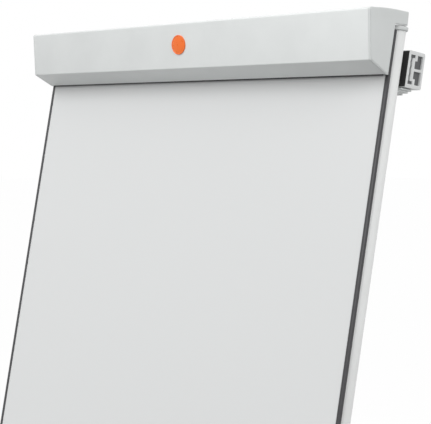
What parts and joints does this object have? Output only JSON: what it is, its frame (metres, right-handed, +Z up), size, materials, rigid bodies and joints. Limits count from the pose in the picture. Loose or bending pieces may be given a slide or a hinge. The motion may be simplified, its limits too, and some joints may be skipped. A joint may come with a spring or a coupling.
{
  "type": "flipchart easel",
  "caption": "Tripod flipchart easel: leaning whiteboard, hinged wedge pad clamp, telescopic legs, pen tray and sliding display arms behind the board.",
  "frame": {"origin": "on the floor, under the middle of the easel's box", "axes": "+Z up, -Y towards the writer, +X to the right as the writer faces the board"},
  "size_m": [0.71, 1.0344, 1.8939],
  "materials": {
    "white_steel": "smooth white enamelled sheet, semi-gloss",
    "board_fill": "fibreboard core",
    "back_sheet": "dull aluminium sheet",
    "grey_trim": "satin dark grey anodised",
    "tube_paint": "light grey powder coat",
    "frame_paint": "light grey powder coat",
    "bright_tube": "satin drawn aluminium",
    "cover_grey": "light grey, fine texture",
    "cap_grey": "light grey moulded",
    "badge_orange": "plain orange disc",
    "arm_extrusion": "light grey powder-coated extrusion",
    "tray_grey": "light grey powder coat",
    "zinc": "zinc plated",
    "dark_plastic": "dark grey moulded",
    "black_plastic": "black moulded",
    "black_strip": "flexible magnetic strip",
    "rubber": "dark grey rubber"
  },
  "bodies": {
    "root": {"leg_tube_left": "tube_paint", "leg_tube_right": "tube_paint", "tube_plugs": "cap_grey", "head_rail": "frame_paint", "cross_bar": "frame_paint", "board_face": "white_steel", "board_core": "board_fill", "board_back": "back_sheet", "board_trim_left": "grey_trim", "board_trim_right": "grey_trim", "board_trim_ends": "grey_trim", "board_bolts": "zinc", "hinge_ears": "frame_paint", "cover_hinge_pins": "zinc", "hook_rail": "zinc", "rear_bracket": "frame_paint", "bracket_bolts": "zinc", "rear_hinge_pin": "zinc", "arm_carrier_left": "frame_paint", "arm_carrier_right": "frame_paint", "carrier_spacers": "frame_paint", "carrier_screws": "zinc", "arm_guides_left": "cap_grey", "arm_guides_right": "cap_grey", "pen_tray": "tray_grey", "tray_end_left": "dark_plastic", "tray_end_right": "dark_plastic", "tray_brackets": "frame_paint", "tray_screws": "zinc", "leg_clamp_left": "dark_plastic", "leg_clamp_right": "dark_plastic", "clamp_pins_front": "zinc"},
    "cover": {"pad_clamp_cover": "cover_grey", "cover_end_left": "cap_grey", "cover_end_right": "cap_grey", "cover_badge": "badge_orange", "pad_grip_strip": "rubber"},
    "hook_left": {"pad_hook_left": "dark_plastic"},
    "hook_right": {"pad_hook_right": "dark_plastic"},
    "knob_left": {"hook_knob_left": "black_plastic"},
    "knob_right": {"hook_knob_right": "black_plastic"},
    "arm_left": {"display_arm_left": "arm_extrusion", "arm_strip_left": "black_strip", "arm_stop_left": "black_plastic"},
    "arm_right": {"display_arm_right": "arm_extrusion", "arm_strip_right": "black_strip", "arm_stop_right": "black_plastic"},
    "front_leg_left": {"lower_leg_left": "bright_tube", "foot_left": "rubber"},
    "front_leg_right": {"lower_leg_right": "bright_tube", "foot_right": "rubber"},
    "rear_leg": {"rear_leg_tube": "tube_paint", "rear_knuckle": "dark_plastic", "leg_clamp_rear": "dark_plastic", "clamp_pin_rear": "zinc"},
    "rear_leg_lower": {"lower_leg_rear": "bright_tube", "foot_rear": "rubber"},
    "lever_left": {"clamp_lever_left": "black_plastic"},
    "lever_right": {"clamp_lever_right": "black_plastic"},
    "lever_rear": {"clamp_lever_rear": "black_plastic"}
  },
  "joints": [
    {"name": "cover_hinge", "type": "hinge", "parent": "root", "child": "cover", "pos_m": [0, -0.10067, 1.8834], "axis": [-1, 0, 0], "range_deg": [0, 75]},
    {"name": "hook_left_slide", "type": "slide", "parent": "root", "child": "hook_left", "axis": [1, 0, 0], "range_m": [-0.045, 0.045]},
    {"name": "hook_right_slide", "type": "slide", "parent": "root", "child": "hook_right", "axis": [1, 0, 0], "range_m": [-0.045, 0.045]},
    {"name": "hook_left_knob", "type": "hinge", "parent": "hook_left", "child": "knob_left", "pos_m": [-0.235, -0.146, 1.85286], "axis": [0, -0.9781, 0.2079], "range_deg": [0, 360]},
    {"name": "hook_right_knob", "type": "hinge", "parent": "hook_right", "child": "knob_right", "pos_m": [0.235, -0.146, 1.85286], "axis": [0, -0.9781, 0.2079], "range_deg": [0, 360]},
    {"name": "arm_left_slide", "type": "slide", "parent": "root", "child": "arm_left", "axis": [-1, 0, 0], "range_m": [0, 0.5]},
    {"name": "arm_right_slide", "type": "slide", "parent": "root", "child": "arm_right", "axis": [1, 0, 0], "range_m": [0, 0.5]},
    {"name": "leg_left_slide", "type": "slide", "parent": "root", "child": "front_leg_left", "axis": [0, -0.2079, -0.9781], "range_m": [-0.4, 0.1]},
    {"name": "leg_right_slide", "type": "slide", "parent": "root", "child": "front_leg_right", "axis": [0, -0.2079, -0.9781], "range_m": [-0.4, 0.1]},
    {"name": "rear_leg_hinge", "type": "hinge", "parent": "root", "child": "rear_leg", "pos_m": [0, -0.03163, 1.85611], "axis": [-1, 0, 0], "range_deg": [0, 28]},
    {"name": "leg_rear_slide", "type": "slide", "parent": "rear_leg", "child": "rear_leg_lower", "axis": [0, 0.2756, -0.9613], "range_m": [-0.4, 0.1]},
    {"name": "lever_left_hinge", "type": "hinge", "parent": "root", "child": "lever_left", "pos_m": [-0.336, -0.3301, 0.67847], "axis": [0, 0.2079, 0.9781], "range_deg": [0, 110]},
    {"name": "lever_right_hinge", "type": "hinge", "parent": "root", "child": "lever_right", "pos_m": [0.336, -0.3301, 0.67847], "axis": [0, -0.2079, -0.9781], "range_deg": [0, 110]},
    {"name": "lever_rear_hinge", "type": "hinge", "parent": "rear_leg", "child": "lever_rear", "pos_m": [0, 0.31517, 0.74101], "axis": [0, 0.2756, -0.9613], "range_deg": [0, 110]}
  ]
}
